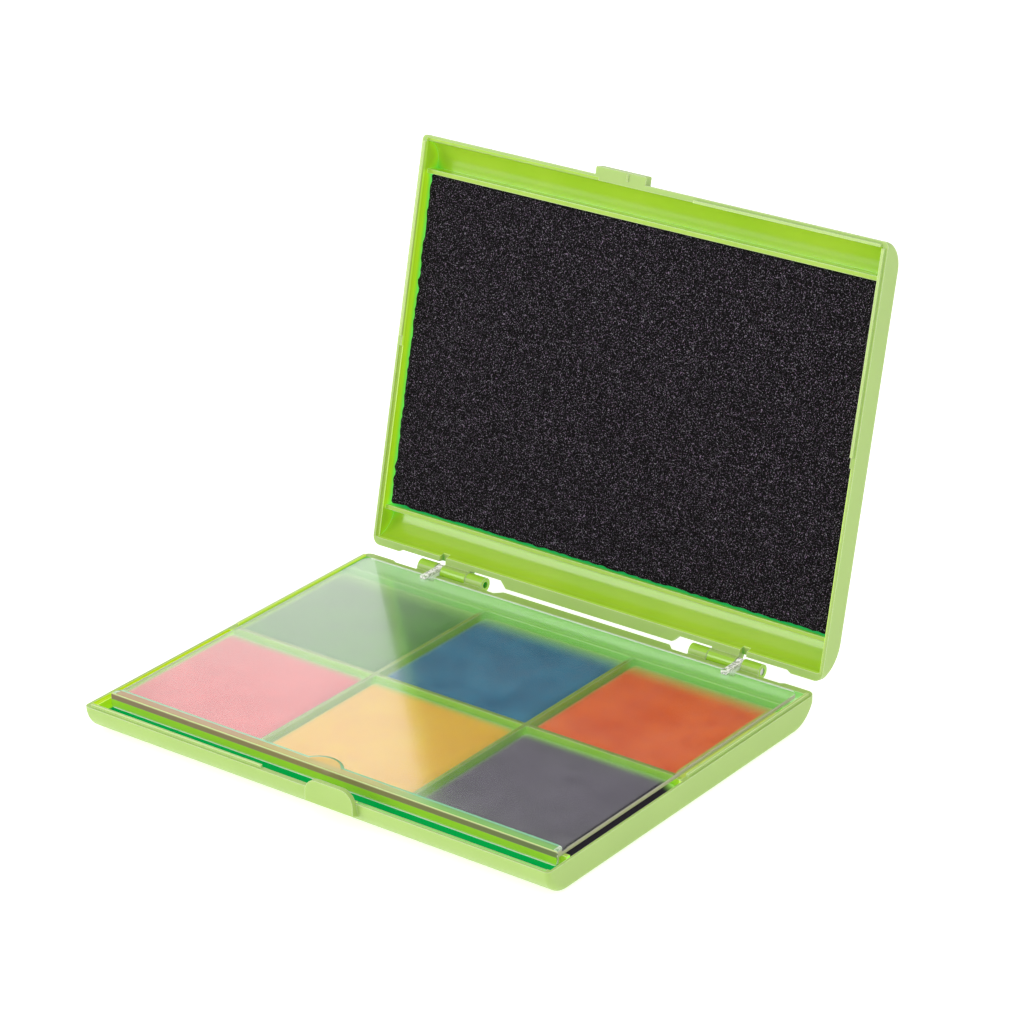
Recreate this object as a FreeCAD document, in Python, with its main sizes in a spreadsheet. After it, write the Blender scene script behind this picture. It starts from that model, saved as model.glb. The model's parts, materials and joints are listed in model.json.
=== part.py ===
import FreeCAD, Part
import math
import os
import re
import Sketcher

# Six-colour ink pad: a hinged case of two mirrored trays, a clear inner cover on the same hinge
# pins, six cloth-faced pads in the base and a foam sheet in the lid. Units are millimetres.
# Origin: middle of the base's flat underside. +Z is up, +Y points to the hinge, +X to the right.
# The lid stands open at lid_open_angle. Both trays are drawn floor down; the lid is then turned over.

DIMENSIONS = [
    # both trays
    ("shell_width", 150.0, "outer width"),
    ("front_reach", 58.0, "origin to the front face"),
    ("rear_reach", 58.75, "origin to the rear corner blocks"),
    ("recess_reach", 58.05, "origin to the rear face between the corner blocks"),
    ("recess_half", 64.2, "half width of the rear recess at its mouth"),
    ("recess_slope", 1.2, "run of the recess's slanted ends"),
    ("rim_height", 7.9, "underside to rim"),
    ("front_round", 7.9, "radius of the front face's curve"),
    ("rear_run", 9.7, "length of the rear face's curve along Y"),
    ("rear_round", 9.905, "radius of the rear face's curve"),
    ("wall", 1.5, "wall and floor thickness"),
    ("rear_inner_reach", 56.6, "origin to the rear wall's inner face at the rim"),
    ("rear_inner_run", 8.2, "length of the inner rear curve along Y"),
    ("rear_inner_round", 8.453, "radius of the inner rear curve"),
    ("corner_round", 1.5, "rounding of the side edges"),
    ("rear_corner_round", 2.5, "rear corners seen from above"),
    ("web_inner", 47.3, "origin to the inner faces of the long webs"),
    ("web_thick", 1.2, "thickness of webs and dividers"),
    ("base_web_top", 7.7, "height of the base's webs and dividers"),
    ("lid_web_top", 5.8, "height of the lid's webs above its own outer face"),
    ("divider_x", 24.7, "origin to the middle of each front-to-rear divider"),
    # rim tongues and the rebates that take the other tray's tongues
    ("tongue_rise", 0.7, "height above the rim"),
    ("tongue_thick", 0.7, "thickness, measured from the wall's inner face"),
    ("rebate_drop", 0.8, "depth below the rim"),
    ("rebate_thick", 0.8, "width, measured from the wall's inner face"),
    ("rebate_slack", 0.1, "room at a tongue's ends"),
    ("front_tongue_far", 73.0, "far end of the front tongue"),
    ("front_tongue_end", 15.5, "origin to the inner end of the front tongue"),
    ("side_tongue_near", 1.5, "middle end of a side tongue"),
    ("side_tongue_front", 56.2, "front end of a side tongue"),
    ("side_tongue_rear", 56.3, "rear end of a side tongue"),
    # hinge
    ("hinge_reach", 60.6, "origin to the hinge axis along Y"),
    ("hinge_height", 8.0, "underside to the hinge axis"),
    ("lid_open_angle", 103.4, "lid opening in degrees as it stands"),
    ("knuckle_radius", 2.05, "outside of the knuckles"),
    ("base_bore_start", 34.0, "inside the inner knuckle's end"),
    ("base_bore_length", 23.6, "out through the outer knuckle"),
    ("base_bore", 1.0, "grips the pin"),
    ("turning_bore", 1.03, "lid knuckles and cover eyes turn on the pin"),
    ("pin_radius", 0.975, "steel pin"),
    ("pin_start", 36.6, "origin to the pin's inner end"),
    ("pin_length", 20.2, "steel pin"),
    ("inner_knuckle_start", 34.6, "base, inner knuckle"),
    ("inner_knuckle_width", 5.75, "base, inner knuckle"),
    ("middle_knuckle_start", 40.5, "lid knuckle"),
    ("middle_knuckle_width", 8.55, "lid knuckle"),
    ("outer_knuckle_start", 51.35, "base, outer knuckle"),
    ("outer_knuckle_width", 5.65, "base, outer knuckle"),
    ("knuckle_root", 57.0, "Y where a knuckle's gusset enters the wall"),
    ("gusset_low", 4.6, "Z where the gusset enters the wall"),
    ("lip_reach", 60.0, "rear lips between the hinges"),
    ("lip_half", 29.8, "half width of a lip at its root"),
    ("lip_slope", 2.0, "run of a lip's slanted ends"),
    ("lip_thick", 1.6, "rear lips"),
    ("notch_start", 49.1, "wall notch for a cover arm"),
    ("notch_width", 2.2, "wall notch for a cover arm"),
    ("notch_floor", 6.1, "wall notch for a cover arm"),
    # latch tongue on the base, thumb tab on the lid
    ("latch_start", 0.9, "left end"),
    ("latch_width", 15.2, "along X"),
    ("latch_face", 59.6, "origin to the outer face"),
    ("latch_thick", 1.4, "free part above the rim"),
    ("latch_top", 11.4, "underside to the top"),
    ("latch_low", 5.0, "underside to the lower end"),
    ("latch_round", 3.7, "top corners"),
    ("latch_root", 57.0, "Y where the latch or the tab enters the wall at the rim"),
    ("latch_toe", 56.0, "Y where the latch's lower end enters the wall"),
    ("latch_chamfer", 1.5, "lower outer edge"),
    ("bead_radius", 0.35, "snap bead inside the latch"),
    ("bead_height", 10.35, "underside to the bead"),
    ("bead_margin", 4.2, "bead end to latch end"),
    ("tab_start", 0.4, "in the lid's own frame"),
    ("tab_width", 16.3, "along X"),
    ("tab_face", 60.2, "origin to the outer face"),
    ("tab_depth", 2.6, "from the rim"),
    ("tab_round", 0.4, "corners away from the rim"),
    ("tab_rib_x", 6.2, "small rib on the tab's end"),
    ("tab_rib_width", 0.6, "small rib on the tab's end"),
    ("tab_rib_rise", 0.3, "small rib on the tab's end"),
    # clear inner cover
    ("cover_half", 72.1, "half width"),
    ("cover_front", 50.7, "origin to the front face"),
    ("cover_rear", 55.4, "origin to the rear edge"),
    ("cover_low", 7.8, "underside"),
    ("cover_thick", 0.9, "plate"),
    ("cover_corner", 3.0, "rear corners"),
    ("bar_width", 3.5, "raised grip bar along Y"),
    ("bar_rise", 0.8, "bar above the plate"),
    ("bar_end_round", 2.0, "bar's ends"),
    ("bar_edge", 0.4, "rounding round the bar's top"),
    ("plate_edge", 0.3, "rounding of the plate's and flange's edges"),
    ("thumb_centre", -2.1, "thumb arc along X"),
    ("thumb_half", 5.6, "half width of the thumb arc"),
    ("thumb_round", 7.0, "radius of the thumb arc"),
    ("thumb_blend", 1.2, "radius where the thumb arc meets the bar"),
    ("flange_thick", 1.0, "hanging front flange"),
    ("flange_drop", 2.5, "flange below the plate"),
    ("flange_corner", 1.2, "flange's lower corners"),
    ("arm_start", 49.3, "origin to the arm's inner side"),
    ("arm_width", 1.8, "along X"),
    ("arm_front", 52.4, "Y of the arm's front end"),
    ("arm_top", 9.55, "height of the arm over the wall"),
    ("arm_low", 6.5, "underside of the arm in the wall notch"),
    ("arm_step", 56.0, "Y where the arm thickens downwards"),
    ("eye_radius", 1.85, "outside of the arm's eye"),
    # pads
    ("pad_gap", 0.6, "pad to cell wall"),
    ("cloth_thick", 0.3, "woven face"),
    ("cloth_hem", 2.4, "lower edge of the cloth"),
    ("pad_top", 7.1, "top of the cloth"),
    ("pad_corner", 0.8, "vertical corners of the cloth"),
    ("pad_core_corner", 0.5, "vertical corners of the core"),
    ("tape_thick", 0.1, "adhesive"),
    ("pad_tape_margin", 3.0, "core edge to tape edge"),
    # lid foam
    ("foam_left", 72.3, "origin to the left edge"),
    ("foam_right", 73.2, "origin to the right edge"),
    ("foam_front", 47.1, "origin to the front edge"),
    ("foam_rear", 46.5, "origin to the rear edge"),
    ("foam_face", 10.35, "height of the foam's face with the lid shut"),
    ("foam_corner", 1.5, "vertical corners"),
    ("foam_tape_margin", 1.0, "foam edge to tape edge"),
]

SIDES = [(-1, "left"), (1, "right")]
PAD_NAMES = [
    ["pink", "yellow", "violet"],
    ["green", "blue", "orange"],
]

doc = FreeCAD.newDocument("InkPad")
sheet = doc.addObject("Spreadsheet::Sheet", "dims")
for row, (alias, value, note) in enumerate(DIMENSIONS, start=1):
    sheet.set("A%d" % row, alias)
    sheet.set("B%d" % row, str(value))
    sheet.setAlias("B%d" % row, alias)
    sheet.set("C%d" % row, note)
doc.recompute()

VALUES = {alias: value for alias, value, note in DIMENSIONS}


def bound(formula):
    """The formula with the sheet's name in front of each of its aliases."""
    return re.sub("[a-z_]+", lambda word: "dims." + word.group(), formula)


def number(formula):
    """The formula's value: a signed sum of aliases, numbers and number*alias terms."""
    total = 0.0
    sign = 1.0
    for word in formula.split():
        if word in ("+", "-"):
            sign = 1.0 if word == "+" else -1.0
            continue
        factor, star, name = word.rpartition("*")
        value = VALUES[name] if name in VALUES else float(name)
        total += sign * value * (float(factor) if star else 1.0)
        sign = 1.0
    return total


def span(start, length, side):
    """Where a span that lies from start to start + length on the side +1 or -1 begins along X."""
    return start if side > 0 else "- %s - %s" % (start, length)


# ---------------------------------------------------------------- sketches and features

def new_body(label):
    body = doc.addObject("PartDesign::Body", label)
    body.Label = label
    return body


def new_sketch(body, role, name, start):
    """A sketch parallel to one of the body's origin planes, start away from it."""
    plane = [feature for feature in body.Origin.OriginFeatures if feature.Role == role][0]
    sketch = body.newObject("Sketcher::SketchObject", name + "_sketch")
    sketch.AttachmentSupport = [(plane, "")]
    sketch.MapMode = "FlatFace"
    sketch.AttachmentOffset = FreeCAD.Placement(FreeCAD.Vector(0, 0, number(start)), FreeCAD.Rotation())
    sketch.setExpression("AttachmentOffset.Base.z", bound(start))
    return sketch


def bind(sketch, kind, geometry, vertex, formula):
    """Ties a vertex's distance from the sketch's origin to the sheet."""
    index = sketch.addConstraint(Sketcher.Constraint(kind, -1, 1, geometry, vertex, number(formula)))
    sketch.setExpression("Constraints[%d]" % index, bound(formula))


def arc_between(first, second, radius, side):
    """The short arc between two points; its centre is left (+1) or right (-1) of the way there."""
    chord = second - first
    middle = (first + second) * 0.5
    rise = math.sqrt(radius ** 2 - (chord.Length / 2) ** 2)
    across = FreeCAD.Vector(-chord.y, chord.x, 0).normalize()
    centre = middle + across * rise * side
    ends = (first, second) if side > 0 else (second, first)
    angles = [math.atan2(end.y - centre.y, end.x - centre.x) for end in ends]
    if angles[1] < angles[0]:
        angles[1] += 2 * math.pi
    return Part.ArcOfCircle(Part.Circle(centre, FreeCAD.Vector(0, 0, 1), radius), angles[0], angles[1])


def outline(sketch, corners):
    """A closed outline. A corner is (u, v), or (u, v, radius, side) if an arc leads on from it."""
    points = [FreeCAD.Vector(number(corner[0]), number(corner[1]), 0) for corner in corners]
    starts = []
    ends = []
    for index, corner in enumerate(corners):
        here = points[index]
        there = points[(index + 1) % len(points)]
        if len(corner) == 2:
            geometry = sketch.addGeometry(Part.LineSegment(here, there), False)
            starts.append((geometry, 1))
            ends.append((geometry, 2))
        else:
            arc = arc_between(here, there, number(corner[2]), corner[3])
            geometry = sketch.addGeometry(arc, False)
            starts.append((geometry, 1 if corner[3] > 0 else 2))
            ends.append((geometry, 2 if corner[3] > 0 else 1))
            radius = sketch.addConstraint(Sketcher.Constraint("Radius", geometry, number(corner[2])))
            sketch.setExpression("Constraints[%d]" % radius, bound(corner[2]))
    for index, corner in enumerate(corners):
        joint = Sketcher.Constraint("Coincident", *ends[index - 1], *starts[index])
        sketch.addConstraint(joint)
        bind(sketch, "DistanceX", *starts[index], corner[0])
        bind(sketch, "DistanceY", *starts[index], corner[1])


def rectangle(sketch, left, right, low, high):
    outline(sketch, [(left, low), (right, low), (right, high), (left, high)])


def circle(sketch, across, up, radius):
    centre = FreeCAD.Vector(number(across), number(up), 0)
    ring = Part.Circle(centre, FreeCAD.Vector(0, 0, 1), number(radius))
    geometry = sketch.addGeometry(ring, False)
    size = sketch.addConstraint(Sketcher.Constraint("Radius", geometry, number(radius)))
    sketch.setExpression("Constraints[%d]" % size, bound(radius))
    bind(sketch, "DistanceX", geometry, 3, across)
    bind(sketch, "DistanceY", geometry, 3, up)


def extrude(body, sketch, length, cut=False):
    """Pads or pockets a sketch along its own normal, and checks that it changed the body."""
    volume = body.Shape.Volume if body.Tip else 0.0
    kind = "Pocket" if cut else "Pad"
    feature = body.newObject("PartDesign::" + kind, sketch.Name.replace("_sketch", "_" + kind.lower()))
    feature.Profile = sketch
    feature.setExpression("Length", bound(length))
    feature.Reversed = cut
    doc.recompute()
    gained = body.Shape.Volume - volume
    if gained == 0 or (gained < 0) != cut:
        raise RuntimeError("%s left the volume at %+.3f" % (feature.Name, gained))
    return feature


def fillet(body, name, radius, wanted):
    """Rounds the edges of the body's last feature whose bounding box passes the wanted test."""
    base = body.Tip
    edges = ["Edge%d" % (n + 1) for n, edge in enumerate(base.Shape.Edges) if wanted(edge.BoundBox)]
    feature = body.newObject("PartDesign::Fillet", name)
    feature.Base = (base, edges)
    feature.setExpression("Radius", bound(radius))
    doc.recompute()


def near(value, formula):
    return abs(value - number(formula)) < 0.01


def flat(low, high, formula):
    """True if a box's side lies in the plane that the formula gives."""
    return near(low, formula) and near(high, formula)


# ---------------------------------------------------------------- the two trays

def tray(label, web_top):
    """The moulding that base and lid share, drawn floor down, up to its plain rim."""
    body = new_body(label)

    shell = new_sketch(body, "YZ_Plane", label + "_shell", "- 0.5*shell_width")
    outline(shell, [
        ("- front_reach", "rim_height", "front_round", 1),
        ("front_round - front_reach", "0"),
        ("rear_reach - rear_run", "0", "rear_round", 1),
        ("rear_reach", "rim_height"),
    ])
    extrude(body, shell, "shell_width")
    fillet(body, label + "_side_rounding", "corner_round",
           lambda box: (flat(box.XMin, box.XMax, "0.5*shell_width")
                        or flat(box.XMin, box.XMax, "- 0.5*shell_width"))
           and not near(box.ZMin, "rim_height"))

    cavity = new_sketch(body, "YZ_Plane", label + "_cavity", "wall - 0.5*shell_width")
    outline(cavity, [
        ("wall - front_reach", "rim_height", "front_round - wall", 1),
        ("front_round - front_reach", "wall"),
        ("rear_inner_reach - rear_inner_run", "wall", "rear_inner_round", 1),
        ("rear_inner_reach", "rim_height"),
        ("rear_inner_reach", "rim_height + wall"),
        ("wall - front_reach", "rim_height + wall"),
    ])
    extrude(body, cavity, "shell_width - 2*wall", cut=True)

    recess = new_sketch(body, "XY_Plane", label + "_recess", "0")
    outline(recess, [
        ("- recess_half", "recess_reach"),
        ("recess_half", "recess_reach"),
        ("recess_half + recess_slope", "rear_reach"),
        ("recess_half + recess_slope", "rear_reach + wall"),
        ("- recess_half - recess_slope", "rear_reach + wall"),
        ("- recess_half - recess_slope", "rear_reach"),
    ])
    extrude(body, recess, "rim_height", cut=True)

    corners = new_sketch(body, "XY_Plane", label + "_rear_corners", "0")
    outline(corners, [
        ("0.5*shell_width", "rear_reach - rear_corner_round", "rear_corner_round", 1),
        ("0.5*shell_width - rear_corner_round", "rear_reach"),
        ("0.5*shell_width", "rear_reach"),
    ])
    outline(corners, [
        ("- 0.5*shell_width", "rear_reach - rear_corner_round"),
        ("- 0.5*shell_width", "rear_reach"),
        ("rear_corner_round - 0.5*shell_width", "rear_reach", "rear_corner_round", 1),
    ])
    extrude(body, corners, "rim_height", cut=True)

    webs = new_sketch(body, "XY_Plane", label + "_webs", "0.5*wall")
    for low, high in [("- web_inner - web_thick", "- web_inner"), ("web_inner", "web_inner + web_thick")]:
        rectangle(webs, "0.5*wall - 0.5*shell_width", "0.5*shell_width - 0.5*wall", low, high)
    extrude(body, webs, web_top + " - 0.5*wall")

    return body


def add_rim(body, label, tongues_behind):
    """Raised tongues on half of the rim, and rebates for the other tray's tongues on the rest."""
    inner = "0.5*shell_width - wall"
    behind = ("side_tongue_near", "side_tongue_rear")
    ahead = ("- side_tongue_front", "- side_tongue_near")

    tongues = new_sketch(body, "XY_Plane", label + "_tongues", "rim_height")
    rectangle(tongues, "- front_tongue_far", "- front_tongue_end",
              "wall - front_reach - tongue_thick", "wall - front_reach")
    low, high = behind if tongues_behind else ahead
    rectangle(tongues, inner, inner + " + tongue_thick", low, high)
    rectangle(tongues, "wall - 0.5*shell_width - tongue_thick", "wall - 0.5*shell_width", low, high)
    extrude(body, tongues, "tongue_rise")

    rebates = new_sketch(body, "XY_Plane", label + "_rebates", "rim_height - rebate_drop")
    rectangle(rebates, "front_tongue_end - rebate_slack", inner,
              "wall - front_reach - rebate_thick", "wall - front_reach")
    low, high = ahead if tongues_behind else behind
    rectangle(rebates, inner, inner + " + rebate_thick", low + " - rebate_slack", high + " + rebate_slack")
    rectangle(rebates, "wall - 0.5*shell_width - rebate_thick", "wall - 0.5*shell_width",
              low + " - rebate_slack", high + " + rebate_slack")
    extrude(body, rebates, "tongue_rise + rebate_drop", cut=True)


def add_lip(body, label):
    """The lip on the rear wall between the hinges, which closes the gap to the other tray."""
    lip = new_sketch(body, "XY_Plane", label + "_lip", "rim_height - lip_thick")
    outline(lip, [
        ("- lip_half", "knuckle_root"),
        ("lip_half", "knuckle_root"),
        ("lip_half", "recess_reach"),
        ("lip_half - lip_slope", "lip_reach"),
        ("lip_slope - lip_half", "lip_reach"),
        ("- lip_half", "recess_reach"),
    ])
    extrude(body, lip, "lip_thick")


def add_knuckles(body, label, spans):
    """Barrels on the hinge axis, each with a gusset down into the rear wall."""
    for start, length in spans:
        for side, word in SIDES:
            name = "%s_%s_%s" % (label, word, start)
            gusset = new_sketch(body, "YZ_Plane", name + "_gusset", span(start, length, side))
            outline(gusset, [
                ("knuckle_root", "gusset_low"),
                ("hinge_reach + 0.6*knuckle_radius", "hinge_height - 0.75*knuckle_radius"),
                ("hinge_reach", "rim_height"),
                ("knuckle_root", "rim_height"),
            ])
            extrude(body, gusset, length)
            barrel = new_sketch(body, "YZ_Plane", name + "_barrel", span(start, length, side))
            circle(barrel, "hinge_reach", "hinge_height", "knuckle_radius")
            extrude(body, barrel, length)


def add_bores(body, label, start, length, radius):
    """One bore on each side, along the hinge axis."""
    for side, word in SIDES:
        bore = new_sketch(body, "YZ_Plane", "%s_%s_bore" % (label, word), span(start, length, side))
        circle(bore, "hinge_reach", "hinge_height", radius)
        extrude(body, bore, length, cut=True)


def add_notches(body, label):
    """The slots in the rear wall that the cover's arms pass through."""
    for side, word in SIDES:
        start = span("notch_start", "notch_width", side)
        notch = new_sketch(body, "YZ_Plane", "%s_%s_notch" % (label, word), start)
        rectangle(notch, "arm_step - wall", "hinge_reach", "notch_floor", "rim_height + tongue_rise")
        extrude(body, notch, "notch_width", cut=True)


# ---------------------------------------------------------------- the pieces

def make_base():
    body = tray("base_shell", "base_web_top")

    long_rib = new_sketch(body, "XY_Plane", "base_long_rib", "0.5*wall")
    rectangle(long_rib, "0.5*wall - 0.5*shell_width", "0.5*shell_width - 0.5*wall",
              "- 0.5*web_thick", "0.5*web_thick")
    extrude(body, long_rib, "base_web_top - 0.5*wall")
    dividers = new_sketch(body, "XY_Plane", "base_dividers", "0.5*wall")
    for left, right in [("- divider_x - 0.5*web_thick", "0.5*web_thick - divider_x"),
                        ("divider_x - 0.5*web_thick", "divider_x + 0.5*web_thick")]:
        rectangle(dividers, left, right, "- web_inner - 0.5*web_thick", "web_inner + 0.5*web_thick")
    extrude(body, dividers, "base_web_top - 0.5*wall")

    root = new_sketch(body, "YZ_Plane", "latch_root", "latch_start")
    outline(root, [
        ("- latch_toe", "latch_low - latch_chamfer"),
        ("- latch_root", "rim_height"),
        ("- latch_face", "rim_height"),
        ("- latch_face", "latch_low"),
    ])
    extrude(body, root, "latch_width")
    tongue = new_sketch(body, "XZ_Plane", "latch_tongue", "latch_face - latch_thick")
    outline(tongue, [
        ("latch_start", "latch_low"),
        ("latch_start + latch_width", "latch_low"),
        ("latch_start + latch_width", "latch_top - latch_round", "latch_round", 1),
        ("latch_start + latch_width - latch_round", "latch_top"),
        ("latch_start + latch_round", "latch_top", "latch_round", 1),
        ("latch_start", "latch_top - latch_round"),
    ])
    extrude(body, tongue, "latch_thick")
    bead = new_sketch(body, "YZ_Plane", "latch_bead", "latch_start + bead_margin")
    circle(bead, "latch_thick - latch_face", "bead_height", "bead_radius")
    extrude(body, bead, "latch_width - 2*bead_margin")

    add_rim(body, "base", True)
    add_lip(body, "base")
    add_knuckles(body, "base", [("inner_knuckle_start", "inner_knuckle_width"),
                                ("outer_knuckle_start", "outer_knuckle_width")])
    add_bores(body, "base", "base_bore_start", "base_bore_length", "base_bore")
    add_notches(body, "base")
    return body


def make_lid():
    body = tray("lid_shell", "lid_web_top")

    tab = new_sketch(body, "XY_Plane", "lid_tab", "rim_height - tab_depth")
    outline(tab, [
        ("tab_start", "- latch_root"),
        ("tab_start", "tab_round - tab_face", "tab_round", 1),
        ("tab_start + tab_round", "- tab_face"),
        ("tab_start + tab_width - tab_round", "- tab_face", "tab_round", 1),
        ("tab_start + tab_width", "tab_round - tab_face"),
        ("tab_start + tab_width", "- latch_root"),
    ])
    extrude(body, tab, "tab_depth")
    rib = new_sketch(body, "XY_Plane", "lid_tab_rib", "rim_height - tab_depth")
    rectangle(rib, "tab_rib_x - 0.5*tab_rib_width", "tab_rib_x + 0.5*tab_rib_width",
              "tab_round - tab_face", "- front_reach")
    extrude(body, rib, "tab_depth + tab_rib_rise")

    add_rim(body, "lid", False)
    add_lip(body, "lid")
    add_knuckles(body, "lid", [("middle_knuckle_start", "middle_knuckle_width")])
    add_bores(body, "lid", "middle_knuckle_start", "middle_knuckle_width", "turning_bore")
    add_notches(body, "lid")
    return body


def make_cover():
    body = new_body("inner_cover")

    plate = new_sketch(body, "XY_Plane", "cover_plate", "cover_low")
    outline(plate, [
        ("- cover_half", "- cover_front"),
        ("cover_half", "- cover_front"),
        ("cover_half", "cover_rear - cover_corner", "cover_corner", 1),
        ("cover_half - cover_corner", "cover_rear"),
        ("cover_corner - cover_half", "cover_rear", "cover_corner", 1),
        ("- cover_half", "cover_rear - cover_corner"),
    ])
    extrude(body, plate, "cover_thick")
    fillet(body, "plate_edges", "plate_edge",
           lambda box: flat(box.ZMin, box.ZMax, "cover_low + cover_thick")
           and not flat(box.YMin, box.YMax, "- cover_front"))

    bar = new_sketch(body, "XY_Plane", "cover_bar", "cover_low")
    outline(bar, [
        ("- cover_half", "- cover_front"),
        ("cover_half", "- cover_front"),
        ("cover_half", "bar_width - cover_front - bar_end_round", "bar_end_round", 1),
        ("cover_half - bar_end_round", "bar_width - cover_front"),
        ("thumb_centre + thumb_half", "bar_width - cover_front", "thumb_round", 1),
        ("thumb_centre - thumb_half", "bar_width - cover_front"),
        ("bar_end_round - cover_half", "bar_width - cover_front", "bar_end_round", 1),
        ("- cover_half", "bar_width - cover_front - bar_end_round"),
    ])
    extrude(body, bar, "cover_thick + bar_rise")
    fillet(body, "thumb_blends", "thumb_blend",
           lambda box: flat(box.YMin, box.YMax, "bar_width - cover_front")
           and (flat(box.XMin, box.XMax, "thumb_centre + thumb_half")
                or flat(box.XMin, box.XMax, "thumb_centre - thumb_half")))

    flange = new_sketch(body, "XZ_Plane", "cover_flange", "cover_front - flange_thick")
    outline(flange, [
        ("- cover_half", "cover_low + 0.5*cover_thick"),
        ("- cover_half", "cover_low - flange_drop + flange_corner", "flange_corner", 1),
        ("flange_corner - cover_half", "cover_low - flange_drop"),
        ("cover_half - flange_corner", "cover_low - flange_drop", "flange_corner", 1),
        ("cover_half", "cover_low - flange_drop + flange_corner"),
        ("cover_half", "cover_low + 0.5*cover_thick"),
    ])
    extrude(body, flange, "flange_thick")

    fillet(body, "bar_edges", "bar_edge",
           lambda box: flat(box.ZMin, box.ZMax, "cover_low + cover_thick + bar_rise"))
    fillet(body, "flange_edges", "plate_edge",
           lambda box: box.ZMax < number("cover_low - 0.1"))

    for side, word in SIDES:
        start = span("arm_start", "arm_width", side)
        arm = new_sketch(body, "YZ_Plane", "cover_%s_arm" % word, start)
        outline(arm, [
            ("arm_front", "cover_low"),
            ("arm_step", "cover_low"),
            ("arm_step", "arm_low"),
            ("hinge_reach", "arm_low"),
            ("hinge_reach", "arm_top"),
            ("arm_front", "arm_top"),
        ])
        extrude(body, arm, "arm_width")
        eye = new_sketch(body, "YZ_Plane", "cover_%s_eye" % word, start)
        circle(eye, "hinge_reach", "hinge_height", "eye_radius")
        extrude(body, eye, "arm_width")
    add_bores(body, "cover", "arm_start", "arm_width", "turning_bore")
    return body


def make_pin(side, word):
    body = new_body("hinge_pin_" + word)
    pin = new_sketch(body, "YZ_Plane", "pin_" + word, span("pin_start", "pin_length", side))
    circle(pin, "hinge_reach", "hinge_height", "pin_radius")
    extrude(body, pin, "pin_length")
    return body


def soft_block(label, sides, low, height, corner):
    """A block with rounded vertical edges; sides are its left, right, front and rear formulas."""
    left, right, front, rear = sides
    body = new_body(label)
    sketch = new_sketch(body, "XY_Plane", label, low)
    outline(sketch, [
        ("%s + %s" % (left, corner), front),
        ("%s - %s" % (right, corner), front, corner, 1),
        (right, "%s + %s" % (front, corner)),
        (right, "%s - %s" % (rear, corner), corner, 1),
        ("%s - %s" % (right, corner), rear),
        ("%s + %s" % (left, corner), rear, corner, 1),
        (left, "%s - %s" % (rear, corner)),
        (left, "%s + %s" % (front, corner), corner, 1),
    ])
    extrude(body, sketch, height)
    return body


def inset(sides, margin):
    left, right, front, rear = sides
    return ("%s + %s" % (left, margin), "%s - %s" % (right, margin),
            "%s + %s" % (front, margin), "%s - %s" % (rear, margin))


def make_pad(colour, sides):
    """A felt core on its tape, under a cap of cloth."""
    core = soft_block("pad_core_" + colour, inset(sides, "cloth_thick"), "wall + tape_thick",
                      "pad_top - cloth_thick - wall - tape_thick", "pad_core_corner")
    cloth = soft_block("pad_cloth_" + colour, sides, "cloth_hem", "pad_top - cloth_hem", "pad_corner")
    hollow = new_sketch(cloth, "XY_Plane", "pad_hollow_" + colour, "cloth_hem")
    left, right, front, rear = inset(sides, "cloth_thick")
    rectangle(hollow, left, right, front, rear)
    extrude(cloth, hollow, "pad_top - cloth_thick - cloth_hem", cut=True)
    return [core, cloth]


# ---------------------------------------------------------------- assembly

def tape_patch(name, sides, low):
    """A thin rectangle of double-sided tape as a plain box."""
    left, right, front, rear = sides
    patch = doc.addObject("Part::Box", name)
    for side, formula in [("Length", "%s - (%s)" % (right, left)), ("Width", "%s - (%s)" % (rear, front)),
                          ("Height", "tape_thick")]:
        patch.setExpression(side, bound(formula))
    for axis, formula in [("x", left), ("y", front), ("z", low)]:
        patch.setExpression("Placement.Base." + axis, bound(formula))
    return patch


COLUMNS = [
    ("wall - 0.5*shell_width + pad_gap", "- divider_x - 0.5*web_thick - pad_gap"),
    ("0.5*web_thick - divider_x + pad_gap", "divider_x - 0.5*web_thick - pad_gap"),
    ("divider_x + 0.5*web_thick + pad_gap", "0.5*shell_width - wall - pad_gap"),
]
ROWS = [
    ("pad_gap - web_inner", "- 0.5*web_thick - pad_gap"),
    ("0.5*web_thick + pad_gap", "web_inner - pad_gap"),
]

pieces = [make_base(), make_cover()]
for side, word in SIDES:
    pieces.append(make_pin(side, word))

patches = []
for names, row in zip(PAD_NAMES, ROWS):
    for colour, column in zip(names, COLUMNS):
        pieces += make_pad(colour, column + row)
        patches.append(tape_patch("tape_" + colour, inset(column + row, "pad_tape_margin"), "wall"))
pad_adhesive = doc.addObject("Part::Compound", "pad_adhesive")
pad_adhesive.Label = "pad_adhesive"
pad_adhesive.Links = patches
pieces.append(pad_adhesive)

lid_shell = make_lid()
foam_sides = ("- foam_left", "foam_right", "- foam_front", "foam_rear")
lid_foam = soft_block("lid_foam", foam_sides, "foam_face",
                      "2*hinge_height - wall - tape_thick - foam_face", "foam_corner")
lid_foam_adhesive = soft_block("lid_foam_adhesive", inset(foam_sides, "foam_tape_margin"),
                               "2*hinge_height - wall - tape_thick", "tape_thick", "foam_corner")

turned_over = FreeCAD.Placement(FreeCAD.Vector(0, 0, 2 * VALUES["hinge_height"]),
                                FreeCAD.Rotation(FreeCAD.Vector(0, 1, 0), 180))
opened = FreeCAD.Placement(FreeCAD.Vector(0, 0, 0),
                           FreeCAD.Rotation(FreeCAD.Vector(1, 0, 0), -VALUES["lid_open_angle"]),
                           FreeCAD.Vector(0, VALUES["hinge_reach"], VALUES["hinge_height"]))
lid_shell.Placement = opened * turned_over
lid_foam.Placement = opened
lid_foam_adhesive.Placement = opened
pieces += [lid_shell, lid_foam, lid_foam_adhesive]
doc.recompute()

# ---------------------------------------------------------------- checks and export

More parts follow.
